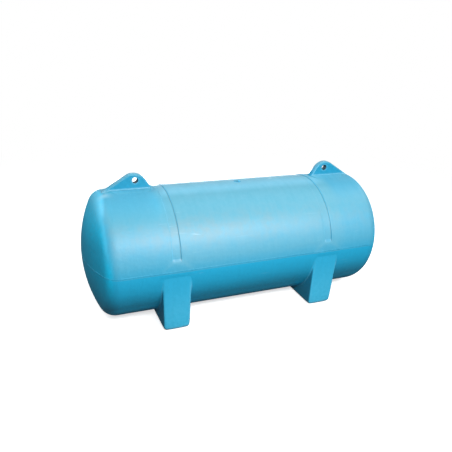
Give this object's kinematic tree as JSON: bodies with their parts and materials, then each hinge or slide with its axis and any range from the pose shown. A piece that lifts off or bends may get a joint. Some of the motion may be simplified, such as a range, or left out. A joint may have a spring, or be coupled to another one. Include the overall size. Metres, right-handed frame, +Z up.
{
  "type": "horizontal storage tank",
  "caption": "Horizontal polyethylene storage tank with dished ends, hollow moulded feet, strap channels and two lifting lugs.",
  "frame": {"origin": "on the ground under the middle of the tank, at the centre of its plan", "axes": "+X along the tank axis, towards the end on the viewer's right; -Y towards the viewer; +Z up"},
  "size_m": [2.53, 1.009, 1.136],
  "materials": {
    "moulded_polyethylene": "satin sky blue rotationally moulded polyethylene with a soft, slightly pebbled skin",
    "port_plug_plastic": "moulded plastic in a slightly darker blue, sunk below the rim of its insert"
  },
  "bodies": {
    "root": {"end_left_upper": "moulded_polyethylene", "end_left_lower": "moulded_polyethylene", "end_right_upper": "moulded_polyethylene", "end_right_lower": "moulded_polyethylene", "shell_left_upper": "moulded_polyethylene", "shell_middle_upper": "moulded_polyethylene", "shell_right_upper": "moulded_polyethylene", "shell_left_lower": "moulded_polyethylene", "shell_middle_lower": "moulded_polyethylene", "shell_right_lower": "moulded_polyethylene", "strap_channel_left": "moulded_polyethylene", "strap_channel_right": "moulded_polyethylene", "foot_left": "moulded_polyethylene", "foot_right": "moulded_polyethylene", "shoulder_left_front": "moulded_polyethylene", "shoulder_left_back": "moulded_polyethylene", "shoulder_right_front": "moulded_polyethylene", "shoulder_right_back": "moulded_polyethylene", "parting_bead_front": "moulded_polyethylene", "parting_bead_back": "moulded_polyethylene", "parting_bead_left": "moulded_polyethylene", "parting_bead_right": "moulded_polyethylene", "lug_left": "moulded_polyethylene", "lug_right": "moulded_polyethylene", "lug_flare_left": "moulded_polyethylene", "lug_flare_right": "moulded_polyethylene", "port_insert": "moulded_polyethylene", "port_plug": "port_plug_plastic"}
  },
  "joints": []
}
